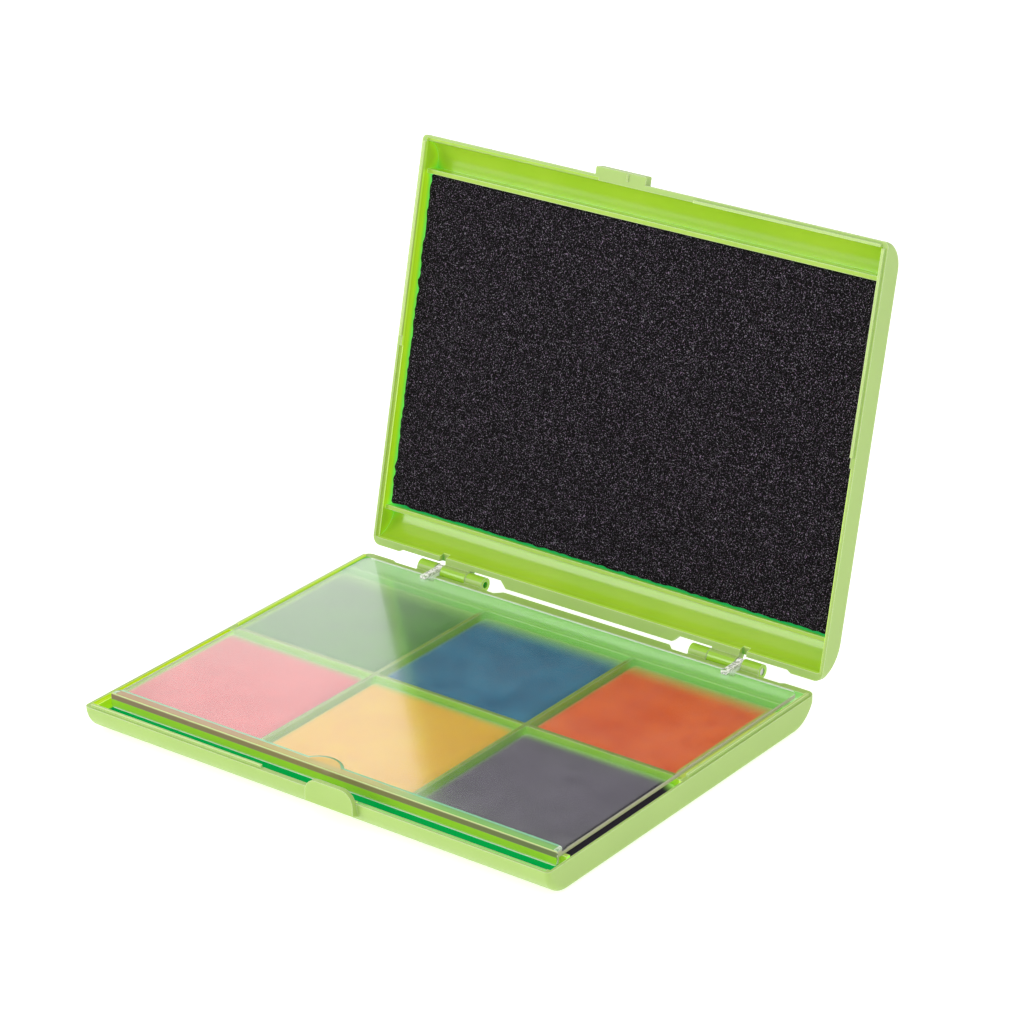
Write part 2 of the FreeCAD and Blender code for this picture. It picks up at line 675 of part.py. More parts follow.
for item in doc.Objects:
    if "Invalid" in item.State or "Error" in item.State:
        raise RuntimeError("%s did not compute" % item.Name)
for piece in pieces:
    wanted = len(patches) if piece is pad_adhesive else 1
    if piece.Shape.isNull() or not piece.Shape.isValid() or len(piece.Shape.Solids) != wanted:
        raise RuntimeError("%s is not sound" % piece.Label)

os.makedirs("parts", exist_ok=True)
for piece in pieces:
    piece.Shape.exportStep("parts/%s.step" % piece.Label)
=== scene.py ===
import json
import math

import bpy
from mathutils import Matrix, Vector, noise


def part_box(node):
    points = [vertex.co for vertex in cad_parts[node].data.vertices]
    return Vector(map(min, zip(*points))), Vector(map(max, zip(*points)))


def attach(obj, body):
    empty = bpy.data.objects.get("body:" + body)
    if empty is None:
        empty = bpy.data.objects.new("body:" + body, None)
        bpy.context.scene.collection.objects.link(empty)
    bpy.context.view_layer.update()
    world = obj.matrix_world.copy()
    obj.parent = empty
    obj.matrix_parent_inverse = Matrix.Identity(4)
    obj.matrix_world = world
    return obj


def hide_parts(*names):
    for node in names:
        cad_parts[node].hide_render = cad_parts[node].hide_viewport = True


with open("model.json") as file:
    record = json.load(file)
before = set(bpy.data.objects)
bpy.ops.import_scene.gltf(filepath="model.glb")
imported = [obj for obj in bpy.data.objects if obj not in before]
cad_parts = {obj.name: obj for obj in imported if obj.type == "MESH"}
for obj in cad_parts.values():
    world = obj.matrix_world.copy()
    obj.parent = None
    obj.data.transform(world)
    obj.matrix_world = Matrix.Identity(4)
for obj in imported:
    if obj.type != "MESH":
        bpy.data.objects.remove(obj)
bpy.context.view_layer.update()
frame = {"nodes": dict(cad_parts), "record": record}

MM = 0.001

# The trays in mm, in a tray's own frame. Base and lid have these sizes in common.
SIDE_WALL = 73.5  # inner faces of the side walls
END_WALL = 56.5  # inner face of the front wall at the rim
LONG_WEB = 47.3  # inner faces of the two long webs
RIM = 7.9
REBATE_FLOOR = 7.1
SIDE_REBATE = 74.3  # outer faces of the rebates in the side walls
END_REBATE = 57.3  # outer face of the rebate in the front wall
# the curves of the front and rear walls: centre along Y and Z, and a radius partway through the wall
FRONT_CURVE, REAR_CURVE = (-50.1, 7.9, 7.1), (48.4, 9.95, 8.65)
HINGE_REACH = 60.6  # hinge axis along Y
KNUCKLE_START = 34.6  # inner ends of the knuckles
BASE_WEB_TOP, LID_WEB_TOP = 7.7, 5.8

# The clear cover in mm.
COVER_FRONT, COVER_REAR, COVER_SIDE = -50.7, 55.4, 72.1
FLANGE_LOW, COVER_LOW, PLATE_TOP, BAR_TOP = 5.3, 7.8, 8.7, 9.5
BAR_REAR = -47.2
THUMB_CENTRE, THUMB_HALF = (-2.1, -51.4), 5.6

CLOTH_THICK = 0.3


# ---------------------------------------------------------------- material helpers

class Net:
    """A material's node tree with short calls for nodes and links."""

    def __init__(self, name):
        self.material = bpy.data.materials.new(name)
        self.material.use_nodes = True
        self.tree = self.material.node_tree
        self.tree.nodes.clear()
        self.output = self.tree.nodes.new("ShaderNodeOutputMaterial")

    def node(self, kind, settings=(), **inputs):
        made = self.tree.nodes.new("ShaderNode" + kind)
        for key, value in dict(settings).items():
            setattr(made, key, value)
        for key, value in inputs.items():
            self.put(made, key.replace("_", " "), value)
        return made

    def put(self, node, socket, value):
        target = node.inputs[socket]
        if hasattr(value, "links"):
            self.tree.links.new(value, target)
        else:
            target.default_value = value

    def math(self, operation, first, second=0.0, third=0.0):
        made = self.tree.nodes.new("ShaderNodeMath")
        made.operation = operation
        for index, value in enumerate((first, second, third)):
            if hasattr(value, "links"):
                self.tree.links.new(value, made.inputs[index])
            else:
                made.inputs[index].default_value = value
        return made.outputs[0]

    def span(self, value, low, high, to_low=0.0, to_high=1.0):
        """Maps low..high to to_low..to_high, clamped."""
        made = self.node("MapRange", Value=value)
        made.inputs["From Min"].default_value = low
        made.inputs["From Max"].default_value = high
        made.inputs["To Min"].default_value = to_low
        made.inputs["To Max"].default_value = to_high
        return made.outputs[0]

    def ramp(self, value, stops):
        """A colour for each value, from stops of (value, colour)."""
        made = self.node("ValToRGB", Fac=value)
        elements = made.color_ramp.elements
        while len(elements) < len(stops):
            elements.new(0.5)
        for element, (place, colour) in zip(elements, stops):
            element.position = place
            element.color = (*colour, 1.0)
        return made.outputs["Color"]

    def blend(self, mode, factor, first, second):
        """Two colours mixed, or the second added to the first, as far as factor says."""
        made = self.tree.nodes.new("ShaderNodeMix")
        made.data_type = "RGBA"
        made.blend_type = mode
        for index, value in ((0, factor), (6, first), (7, second)):
            if hasattr(value, "links"):
                self.tree.links.new(value, made.inputs[index])
            else:
                made.inputs[index].default_value = value
        return made.outputs[2]

    def over(self, value, edge, soft=0.1):
        """1 where value is past edge, and 0 where it is soft or more below it."""
        return self.span(value, edge - soft, edge)

    def under(self, value, edge, soft=0.1):
        """1 where value is short of edge, and 0 where it is soft or more above it."""
        return self.span(value, edge + soft, edge)

    def times(self, *masks):
        """The masks' product: 1 where all of them are."""
        product = masks[0]
        for mask in masks[1:]:
            product = self.math("MULTIPLY", product, mask)
        return product

    def larger(self, first, second):
        return self.math("MAXIMUM", first, second)

    def length(self, first, second):
        """How long a line is that runs first one way and second across it."""
        squares = (self.math("MULTIPLY", value, value) for value in (first, second))
        return self.math("SQRT", self.math("ADD", *squares))

    def mix(self, factor, first, second):
        """Two shaders: first where factor is 0, second where it is 1."""
        made = self.node("MixShader", Fac=factor)
        self.put(made, 1, first)
        self.put(made, 2, second)
        return made.outputs[0]

    def place(self):
        return self.node("TexCoord").outputs["Object"]

    def noise(self, size_mm, detail=2.0, roughness=0.5, vector=None):
        """Noise with features of about size_mm, from 0 to 1."""
        made = self.node("TexNoise", Scale=1.0 / (size_mm * MM), Detail=detail, Roughness=roughness)
        self.put(made, "Vector", vector if vector is not None else self.place())
        return made.outputs["Fac"]

    def bump(self, height, distance_mm, strength=1.0, normal=None):
        made = self.node("Bump", Height=height, Distance=distance_mm * MM, Strength=strength)
        if normal is not None:
            self.put(made, "Normal", normal)
        return made.outputs["Normal"]

    def done(self, shader):
        self.tree.links.new(shader, self.output.inputs["Surface"])
        return self.material


def edge_share(net, bevelled, gain):
    """1 along a moulded edge and 0 on the flat, from how far the rounded normal turns away."""
    facing = net.node("VectorMath", {"operation": "DOT_PRODUCT"})
    net.put(facing, 0, bevelled)
    net.put(facing, 1, net.node("NewGeometry").outputs["Normal"])
    return net.span(facing.outputs["Value"], 1.0, 1.0 - 1.0 / gain)


def tray_masks(net, own, web_top, ends):
    """Masks in a tray's own frame, by name.

    own is the matrix that takes a point to that frame, where the tray lies floor down. ends is how
    strong the side walls' mask is past the webs.
    """
    moved = net.node("Mapping", Vector=net.place())
    moved.inputs["Location"].default_value = own.to_translation()
    moved.inputs["Rotation"].default_value = own.to_euler()
    parts = net.node("SeparateXYZ", Vector=moved.outputs[0])
    along, across, height = (net.math("DIVIDE", parts.outputs[axis], MM) for axis in "XYZ")
    to_side, to_end = (net.math("ABSOLUTE", value) for value in (along, across))

    def inside(curve, beyond):
        """1 on the hollow side of a wall's curve, told by how far a point is from its centre."""
        centre_y, centre_z, radius = curve
        reach = net.length(net.math(beyond, net.math("SUBTRACT", across, centre_y), 0.0),
                           net.math("SUBTRACT", height, centre_z))
        return net.under(reach, radius)

    inner = net.times(inside(FRONT_CURVE, "MINIMUM"), inside(REAR_CURVE, "MAXIMUM"),
                      net.under(to_side, SIDE_WALL + 0.1))
    from_crest = net.math("ABSOLUTE", net.math("SUBTRACT", height, web_top))
    masks = {}
    # the tray's inner side, a little weaker on the webs' crests
    masks["hollow"] = hollow = net.times(inner, net.span(from_crest, 0.03, 0.10, 0.7, 1.0),
                                         net.under(height, RIM - 0.1, 0.06))
    # the low part of the front channel
    masks["deep"] = net.times(inner, net.under(across, -LONG_WEB - 0.6, 0.2), net.under(height, 4.0, 0.5))
    # all that lies below the webs' crests
    masks["sunken"] = net.under(height, web_top + 0.3, 0.5)
    # the walls just under the rim
    outer_ring = net.larger(net.over(to_side, SIDE_WALL - 0.6, 0.3), net.over(to_end, END_WALL - 3.5, 0.5))
    masks["step"] = net.times(hollow, outer_ring, net.over(height, REBATE_FLOOR))
    # the tongues on the rim
    within_rebate = net.under(to_side, SIDE_REBATE + 0.03, 0.03)
    masks["tongue"] = net.times(net.over(height, RIM + 0.08, 0.05), within_rebate,
                                net.under(to_end, END_REBATE))
    # the rebates, and the inner faces of the tongues on the side walls
    in_wall = net.larger(net.over(to_side, SIDE_WALL + 0.1, 0.05), net.over(to_end, END_WALL + 0.2))
    rebate = net.times(net.over(height, REBATE_FLOOR - 0.02, 0.06), net.under(height, RIM - 0.05, 0.03),
                       within_rebate, in_wall, net.under(to_end, END_REBATE + 0.1, 0.05))
    lip = net.times(net.over(to_side, SIDE_WALL - 0.1), net.under(to_side, SIDE_WALL + 0.03, 0.03),
                    net.over(height, RIM, 0.05), net.under(to_end, END_WALL - 0.1, 0.2))
    masks["groove"] = net.larger(rebate, lip)
    # the dividers' faces between the pads
    masks["cells"] = net.times(net.under(to_side, SIDE_WALL - 2.0, 0.5),
                               net.under(to_end, LONG_WEB - 1.5, 0.4),
                               net.under(height, web_top - 0.1, 0.06))
    # what lies rearwards of the pads
    masks["behind"] = net.times(inner, net.under(height, RIM - 0.06, 0.04),
                                net.over(across, LONG_WEB - 1.3, 2.0))
    # the side walls' inner faces, and the foot of those walls beside the foam
    masks["aside"] = net.times(hollow, net.over(to_side, SIDE_WALL - 0.05, 0.15),
                               net.span(to_end, LONG_WEB, LONG_WEB + 1.3, 1.0, ends))
    masks["low"] = net.times(net.under(to_end, LONG_WEB, 0.2), net.under(height, 2.5, 2.5))
    # the hinge knuckles
    masks["barrel"] = net.times(net.over(across, HINGE_REACH - 1.5, 0.2),
                                net.over(to_side, KNUCKLE_START - 1.1, 0.5))
    return masks


def lime_plastic(name, reach_mm, alone, own, web_top, channel):
    """Moulded lime plastic: satin outside, glossier and yellower inside, with painted shade in its hollows,
    painted highlights on its edges and a painted glow where light would bounce inside.

    reach_mm is how far the painted shade in a hollow reaches, alone leaves other pieces out of it, own and
    web_top place the tray. channel is how strongly the painted shade and painted light of the base's channels
    and
    cells show: 1 for the base and 0 for the lid, whose rebates and side walls get less painted glow too.
    """
    net = Net(name)
    bevel = net.node("Bevel", {"samples": 6}, Radius=0.35 * MM).outputs["Normal"]
    occlusion = net.node("AmbientOcclusion", {"samples": 8, "only_local": alone}, Distance=reach_mm * MM)
    openness = occlusion.outputs["AO"]
    fainter = 0.3 + 0.7 * channel
    masks = tray_masks(net, own, web_top, fainter)
    groove = net.times(masks["groove"], fainter)
    cells, behind, deep = (net.times(masks[part], channel) for part in ("cells", "behind", "deep"))

    cloudy = net.noise(22, 3.0)
    outside = net.ramp(cloudy, [(0.3, (0.342, 0.500, 0.118)), (0.7, (0.364, 0.525, 0.130))])
    inside = net.ramp(cloudy, [(0.3, (0.350, 0.570, 0.030)), (0.7, (0.400, 0.600, 0.045))])
    colour = net.blend("MIX", masks["hollow"], outside, inside)
    # painted shade: greener and darker where little light reaches below the webs' crests, deep green in
    # narrow gaps
    enclosed_shade = net.times(net.under(openness, 0.30, 0.20), masks["sunken"])
    gap_shade = net.times(net.under(openness, 0.10, 0.16), masks["sunken"])
    # painted highlight: pale along the moulded edges, more where they are open to the light
    edge = net.times(edge_share(net, bevel, 4.0), net.span(openness, 0.35, 0.7, 0.0, 0.65))
    for mask, paint in (
        (masks["barrel"], (0.330, 0.590, 0.035)),
        (enclosed_shade, (0.120, 0.540, 0.035)),
        (gap_shade, (0.000, 0.450, 0.095)),
        # painted light: the rebates and the lips yellow-olive, made bright by the painted glow added below
        (groove, (0.300, 0.480, 0.015)),
        # painted light: the rear channel behind the pads in one even green, lit further by the painted glow
        # below
        (behind, (0.140, 0.330, 0.085)),
        # painted shade: deep green in the low front channel, under the cover's flange
        (deep, (0.000, 0.400, 0.085)),
        (edge, (0.860, 0.950, 0.700)),
    ):
        colour = net.blend("MIX", mask, colour, (*paint, 1.0))

    # painted glow, which the plastic emits though it is no lamp: in the sunken hollows, strongest where
    # enclosed, and on the side walls' inner faces, greenest at their foot, standing for light through and
    # between the walls
    glow = net.ramp(openness, [
        (0.05, (0.000, 0.240, 0.060)),
        (0.30, (0.060, 0.220, 0.012)),
        (0.60, (0.060, 0.110, 0.000)),
        (0.85, (0.000, 0.000, 0.000)),
    ])
    wall_glow = net.ramp(masks["low"], [(0.1, (0.170, 0.300, 0.000)), (0.9, (0.060, 0.500, 0.060))])
    glow = net.blend("MIX", net.times(masks["hollow"], masks["sunken"]), (0.0, 0.0, 0.0, 1.0), glow)
    glow = net.blend("ADD", masks["aside"], glow, wall_glow)
    # more painted glow: under the rim, in the rebates, a pale painted highlight on the tongues, and on the
    # dividers' faces; even painted light over the rear channel and a dim one in the low front channel
    for mode, mask, light in (
        ("ADD", masks["step"], (0.090, 0.110, 0.040)),
        ("ADD", groove, (0.270, 0.340, 0.000)),
        ("ADD", masks["tongue"], (0.080, 0.090, 0.050)),
        ("ADD", cells, (0.035, 0.100, 0.010)),
        ("MIX", behind, (0.110, 0.300, 0.045)),
        ("MIX", deep, (0.000, 0.150, 0.035)),
    ):
        glow = net.blend(mode, mask, glow, (*light, 1.0))

    normal = net.bump(net.noise(14, 1.0), 0.10, 0.6, bevel)
    normal = net.bump(net.noise(0.22, 2.0, 0.6), 0.010, 0.6, normal)
    glossy = net.larger(masks["hollow"], masks["barrel"])
    rough = net.math("ADD", net.span(glossy, 0.0, 1.0, 0.38, 0.15), net.span(cloudy, 0.2, 0.8, -0.03, 0.03))
    shader = net.node("BsdfPrincipled", Base_Color=colour, Roughness=rough, IOR=1.5, Normal=normal,
                      Subsurface_Weight=0.3, Subsurface_Scale=0.0025, Emission_Color=glow,
                      Emission_Strength=1.0)
    shader.inputs["Subsurface Radius"].default_value = (0.8, 1.0, 0.35)
    return net.done(shader.outputs[0])


def cover_zones(net, along, across, height):
    """The cover's painted zones, each a mask, how much light it scatters, and its colour.

    Their colours are painted light: highlight lines along the edges, the light and colour of the pads and the
    tray carried along the edges and seen through the bar and flange, and light glowing out of the edge faces.
    """
    to_side = net.math("ABSOLUTE", along)
    speckle = net.noise(0.9, 3.0, 0.7)
    lengthwise = net.span(along, -72, 72)
    # painted light carried through the plate and out at its front face: brownish, pinker at the left and more
    # olive at the right
    brown = net.ramp(lengthwise, [(0.05, (0.350, 0.250, 0.165)), (0.50, (0.350, 0.280, 0.125)),
                                  (0.95, (0.215, 0.250, 0.115))])
    # painted light glowing out of the side faces: pale mint at the left, beige at the right
    side_paint = net.ramp(lengthwise, [(0.1, (0.720, 0.820, 0.700)), (0.9, (0.620, 0.600, 0.440))])
    # painted: the pads' colours seen in the bar, from pink through orange and yellow to green
    pads_below = net.ramp(lengthwise, [(0.28, (0.860, 0.420, 0.340)), (0.38, (0.880, 0.600, 0.220)),
                                       (0.60, (0.820, 0.660, 0.240)), (0.72, (0.400, 0.840, 0.290))])
    # painted speckled highlights on the bar's ends
    facets = net.ramp(speckle, [(0.38, (0.240, 0.460, 0.250)), (0.52, (0.860, 0.960, 0.820))])
    arm_paint = net.ramp(speckle, [(0.35, (0.350, 0.330, 0.250)), (0.50, (1.000, 0.980, 0.940))])

    front = net.under(across, COVER_FRONT + 0.04, 0.06)
    bar = net.times(net.over(height, BAR_TOP - 0.4), net.under(across, BAR_REAR + 3.0, 0.2))
    # the bar's rear edge as painted highlight lines: straight, with the thumb arc's circle in the middle,
    # whose line runs from pale at its left to dark shade right of the middle and pale again at its right
    from_thumb = net.math("SUBTRACT", along, THUMB_CENTRE[0])
    radius = net.length(from_thumb, net.math("SUBTRACT", across, THUMB_CENTRE[1]))
    arc_line = net.times(bar, net.over(radius, THUMB_HALF + 0.55, 0.15),
                         net.over(across, BAR_REAR - 0.9, 0.2))
    straight_line = net.times(bar, net.over(across, BAR_REAR - 0.9, 0.15),
                              net.over(net.math("ABSOLUTE", from_thumb), THUMB_HALF + 0.2, 0.6))
    along_arc = net.span(from_thumb, -7, 7)
    arc_paint = net.ramp(along_arc, [(0.1, (0.440, 0.780, 0.540)), (0.6, (0.090, 0.320, 0.150)),
                                     (0.95, (0.300, 0.660, 0.400))])
    bar_ends = net.times(bar, net.over(to_side, COVER_SIDE - 1.3, 0.3))
    # painted highlight along the bar's front edge
    bar_front = net.times(bar, net.under(across, COVER_FRONT + 0.35))
    # the front faces: above, the painted brownish light; below, the flange painted with the tray's lime rib
    # seen through it
    upper_front = net.times(front, net.over(height, COVER_LOW + 0.15, 0.15),
                            net.under(height, BAR_TOP - 0.16, 0.08))
    # painted: the lime of the tray's rib seen through the flange
    lower_front = net.times(front, net.under(height, COVER_LOW, 0.15))
    # the side faces and their rounded top edges, painted with the light glowing out of them
    side_faces = net.times(net.over(to_side, COVER_SIDE - 0.05, 0.15),
                           net.over(across, COVER_FRONT + 0.4, 0.2))
    side_rounds = net.times(net.over(to_side, COVER_SIDE - 0.3, 0.05),
                            net.over(height, PLATE_TOP - 0.2, 0.05),
                            net.over(across, BAR_REAR + 1.2, 1.0))
    # painted white highlight lines along the plate's rear face and the flange's foot
    rear_face = net.times(net.over(across, COVER_REAR - 0.35), net.under(height, PLATE_TOP - 0.05))
    flange_foot = net.times(net.under(height, FLANGE_LOW + 0.4), net.under(across, COVER_FRONT + 1.2, 0.5))
    arms = net.times(net.over(across, COVER_REAR - 3.0), net.over(height, PLATE_TOP + 0.2))
    return [
        (bar, 0.42, pads_below),
        (straight_line, 0.80, (0.48, 0.82, 0.56, 1.0)),
        (arc_line, 0.85, arc_paint),
        (bar_ends, 0.60, facets),
        (bar_front, 0.85, (0.66, 0.76, 0.34, 1.0)),
        (upper_front, 0.92, brown),
        (lower_front, 0.66, (0.48, 0.86, 0.05, 1.0)),
        (side_faces, 0.70, side_paint),
        (side_rounds, 0.60, side_paint),
        (rear_face, 0.92, (0.96, 1.0, 0.94, 1.0)),
        (flange_foot, 0.92, (0.96, 1.0, 0.96, 1.0)),
        (arms, net.span(speckle, 0.42, 0.52, 0.35, 0.9), arm_paint),
    ]


def clear_plastic():
    """Clear moulded polystyrene: hazy and scuffed, with painted light and colour along its edges and a
    painted reflection towards its left and rear.
    """
    net = Net("clear_plastic")
    bevel = net.node("Bevel", {"samples": 6}, Radius=0.25 * MM).outputs["Normal"]
    place = net.place()
    parts = net.node("SeparateXYZ", Vector=place)
    along, across, height = (net.math("DIVIDE", parts.outputs[axis], MM) for axis in "XYZ")
    stretched = net.node("Mapping", Vector=place)
    stretched.inputs["Scale"].default_value = (0.06, 1.0, 1.0)
    stretched.inputs["Rotation"].default_value = (0.0, 0.0, math.radians(24))
    hairlines = net.noise(0.5, 3.0, 0.7, stretched.outputs[0])
    normal = net.bump(net.noise(40, 1.0), 0.03, 0.4, bevel)
    normal = net.bump(hairlines, 0.003, 0.4, normal)
    glass = net.node("BsdfPrincipled", Base_Color=(0.985, 1.0, 0.985, 1.0), Roughness=0.12, IOR=1.58,
                     Transmission_Weight=1.0, Normal=normal)

    # the share and colour of scattered light: a haze on the faces, a painted reflection that grows towards
    # the left and rear, and much more in the painted zones
    haze = net.span(net.noise(18, 4.0, 0.6), 0.3, 0.75, 0.012, 0.040)
    # painted reflection of the bright surroundings: more white towards the left and the rear
    painted_left_reflection = net.times(net.span(along, -22, -70, 0.0, 0.15), net.span(across, -30, 40, 0.3, 1.0))
    haze = net.math("ADD", haze, painted_left_reflection)
    scattered = (0.93, 0.95, 0.93, 1.0)
    for zone, share, paint in cover_zones(net, along, across, height):
        scattered = net.blend("MIX", zone, scattered, paint)
        haze = net.larger(haze, net.times(zone, share))
    # a diffuse layer: the dusty haze, and the painted reflection and painted light of the zones
    dust_and_painted_light = net.node("BsdfDiffuse", Color=scattered, Roughness=0.5)
    hazy = net.mix(haze, glass.outputs[0], dust_and_painted_light.outputs[0])
    through = net.node("BsdfTransparent", Color=(0.98, 1.0, 0.98, 1.0))
    shadow = net.node("LightPath").outputs["Is Shadow Ray"]
    return net.done(net.mix(shadow, hazy, through.outputs[0]))


def inked_cloth(name, dry, wet, low, high, in_rear_row):
    """Fine plain weave steeped in ink, with a damp sheen, for a pad from low to high (mm).

    Towards its left and rear edges a painted lime light, bounced from the dividers, shows over the ink. Its
    sides carry painted shade. By the tray's right-hand wall the front row carries painted shade and the rear
    row the painted lime light. It gives off a painted glow of its own colour.
    """
    net = Net(name)
    place = net.place()
    parts = net.node("SeparateXYZ", Vector=place)
    along, across, height = (net.math("DIVIDE", parts.outputs[axis], MM) for axis in "XYZ")
    soak = net.noise(9, 4.0, 0.6)
    mottle = net.noise(0.8, 2.0, 0.7)
    tone = net.math("ADD", net.math("MULTIPLY", soak, 0.8), net.math("MULTIPLY", mottle, 0.2))
    colour = net.ramp(tone, [(0.30, wet), (0.68, dry)])

    by_wall = net.span(along, SIDE_WALL - 3.9, SIDE_WALL - 3.4, 0.0, 0.96)
    # painted shade: dark down the pad's sides, and by the right-hand wall in the front row, with no
    # reflection or sheen there
    painted_side_shade = net.span(height, high[2] - 0.5, high[2] - 1.1, 0.0, 0.85)
    fade = 9.0 if in_rear_row else 5.0
    # painted lime light bounced from the dividers: towards the rear edge, further in the rear row, at the
    # left edge, and by the right-hand wall in the rear row
    painted_lime_light = net.math("POWER", net.span(across, high[1] - fade, high[1] - 1.2), 1.7)
    painted_lime_light = net.larger(painted_lime_light, net.span(along, low[0] + 2.2, low[0] + 0.4, 0.0, 0.35))
    if in_rear_row:
        painted_lime_light = net.larger(painted_lime_light, net.times(by_wall, 0.8))
    else:
        painted_side_shade = net.larger(painted_side_shade, by_wall)
    colour = net.blend("MIX", painted_side_shade, colour, (*(0.15 * share for share in wet), 1.0))
    colour = net.blend("MIX", painted_lime_light, colour, (0.33, 0.66, 0.12, 1.0))

    thread = 0.30 * MM
    warp, weft = (
        net.node("TexWave", {"bands_direction": direction}, Vector=place, Scale=1.0 / (math.tau * thread),
                 Distortion=0.6, Detail=1.0).outputs["Fac"]
        for direction in ("X", "Y")
    )
    normal = net.bump(net.larger(warp, weft), 0.012, 0.5)
    normal = net.bump(mottle, 0.010, 0.4, normal)
    # painted glow: the cloth gives off a share of its own colour, though it is no lamp
    shader = net.node("BsdfPrincipled", Base_Color=colour, IOR=1.4,
                      Roughness=net.span(soak, 0.3, 0.7, 0.42, 0.62),
                      Specular_IOR_Level=net.span(painted_side_shade, 0.0, 1.0, 0.5, 0.0),
                      Sheen_Weight=net.span(painted_side_shade, 0.0, 1.0, 0.15, 0.0), Sheen_Roughness=0.4, Normal=normal,
                      Emission_Color=colour, Emission_Strength=0.28)
    return net.done(shader.outputs[0])


def black_foam():
    """Fine open-cell foam: near-black pits, with sparse cell walls that glint, the glints painted into the
    colour.
    """
    net = Net("black_foam")
    place = net.place()
    cells = net.node("TexVoronoi", {"feature": "DISTANCE_TO_EDGE"}, Vector=place, Scale=1.0 / (0.75 * MM))
    wall = net.span(cells.outputs["Distance"], 0.02, 0.14, 1.0, 0.0)
    grain = net.noise(0.32, 2.0, 0.8)
    spark = net.span(grain, 0.65, 0.75)
    # painted glints: pale purplish specks on the cell walls and where the grain peaks
    light = net.larger(net.times(wall, net.span(grain, 0.54, 0.66, 0.0, 0.7)), spark)
    glint = net.ramp(net.noise(0.6, 1.0), [(0.35, (0.50, 0.34, 0.54)), (0.65, (0.46, 0.46, 0.50))])
    pit = net.ramp(grain, [(0.35, (0.001, 0.001, 0.001)), (0.6, (0.006, 0.005, 0.006))])
    colour = net.blend("MIX", light, pit, glint)
    normal = net.bump(net.math("ADD", wall, grain), 0.12, 0.7)
    shader = net.node("BsdfPrincipled", Base_Color=colour, Roughness=net.span(light, 0, 1, 0.9, 0.5),
                      Specular_IOR_Level=0.08, Normal=normal)
    return net.done(shader.outputs[0])


def wire_steel():
    """Drawn steel wire, with fine lines along it."""
    net = Net("wire_steel")
    stretched = net.node("Mapping", Vector=net.place())
    stretched.inputs["Scale"].default_value = (0.05, 1.0, 1.0)
    lines = net.noise(0.12, 2.0, 0.6, stretched.outputs[0])
    colour = net.ramp(lines, [(0.3, (0.40, 0.39, 0.37)), (0.7, (0.63, 0.62, 0.60))])
    shader = net.node("BsdfPrincipled", Base_Color=colour, Metallic=1.0,
                      Roughness=net.span(lines, 0.2, 0.8, 0.26, 0.44), Normal=net.bump(lines, 0.01, 0.6))
    return net.done(shader.outputs[0])


def felt():
    """Pale wool felt under the cloth."""
    net = Net("felt")
    fibres = net.noise(0.5, 5.0, 0.75)
    colour = net.ramp(fibres, [(0.3, (0.50, 0.48, 0.44)), (0.7, (0.78, 0.76, 0.70))])
    shader = net.node("BsdfPrincipled", Base_Color=colour, Roughness=0.95, Sheen_Weight=0.4,
                      Normal=net.bump(fibres, 0.2, 0.8))
    return net.done(shader.outputs[0])


def sticky_tape():
    """Double-sided tape: pale and slightly mottled where the glue has taken."""
    net = Net("sticky_tape")
    blotch = net.noise(4, 3.0)
    colour = net.ramp(blotch, [(0.35, (0.70, 0.68, 0.58)), (0.65, (0.83, 0.82, 0.76))])
    shader = net.node("BsdfPrincipled", Base_Color=colour, Roughness=net.span(blotch, 0.3, 0.7, 0.3, 0.6),
                      Normal=net.bump(blotch, 0.03, 0.6))
    return net.done(shader.outputs[0])


def paper_floor():
    """White studio paper, lit evenly."""
    net = Net("paper_floor")
    fibre = net.noise(1.5, 2.0)
    colour = net.ramp(fibre, [(0.3, (0.74, 0.74, 0.74)), (0.7, (0.76, 0.76, 0.76))])
    shader = net.node("BsdfPrincipled", Base_Color=colour, Roughness=0.9, Emission_Color=(1.0, 1.0, 1.0, 1.0),
                      Emission_Strength=0.6)
    return net.done(shader.outputs[0])


# ---------------------------------------------------------------- soft pieces

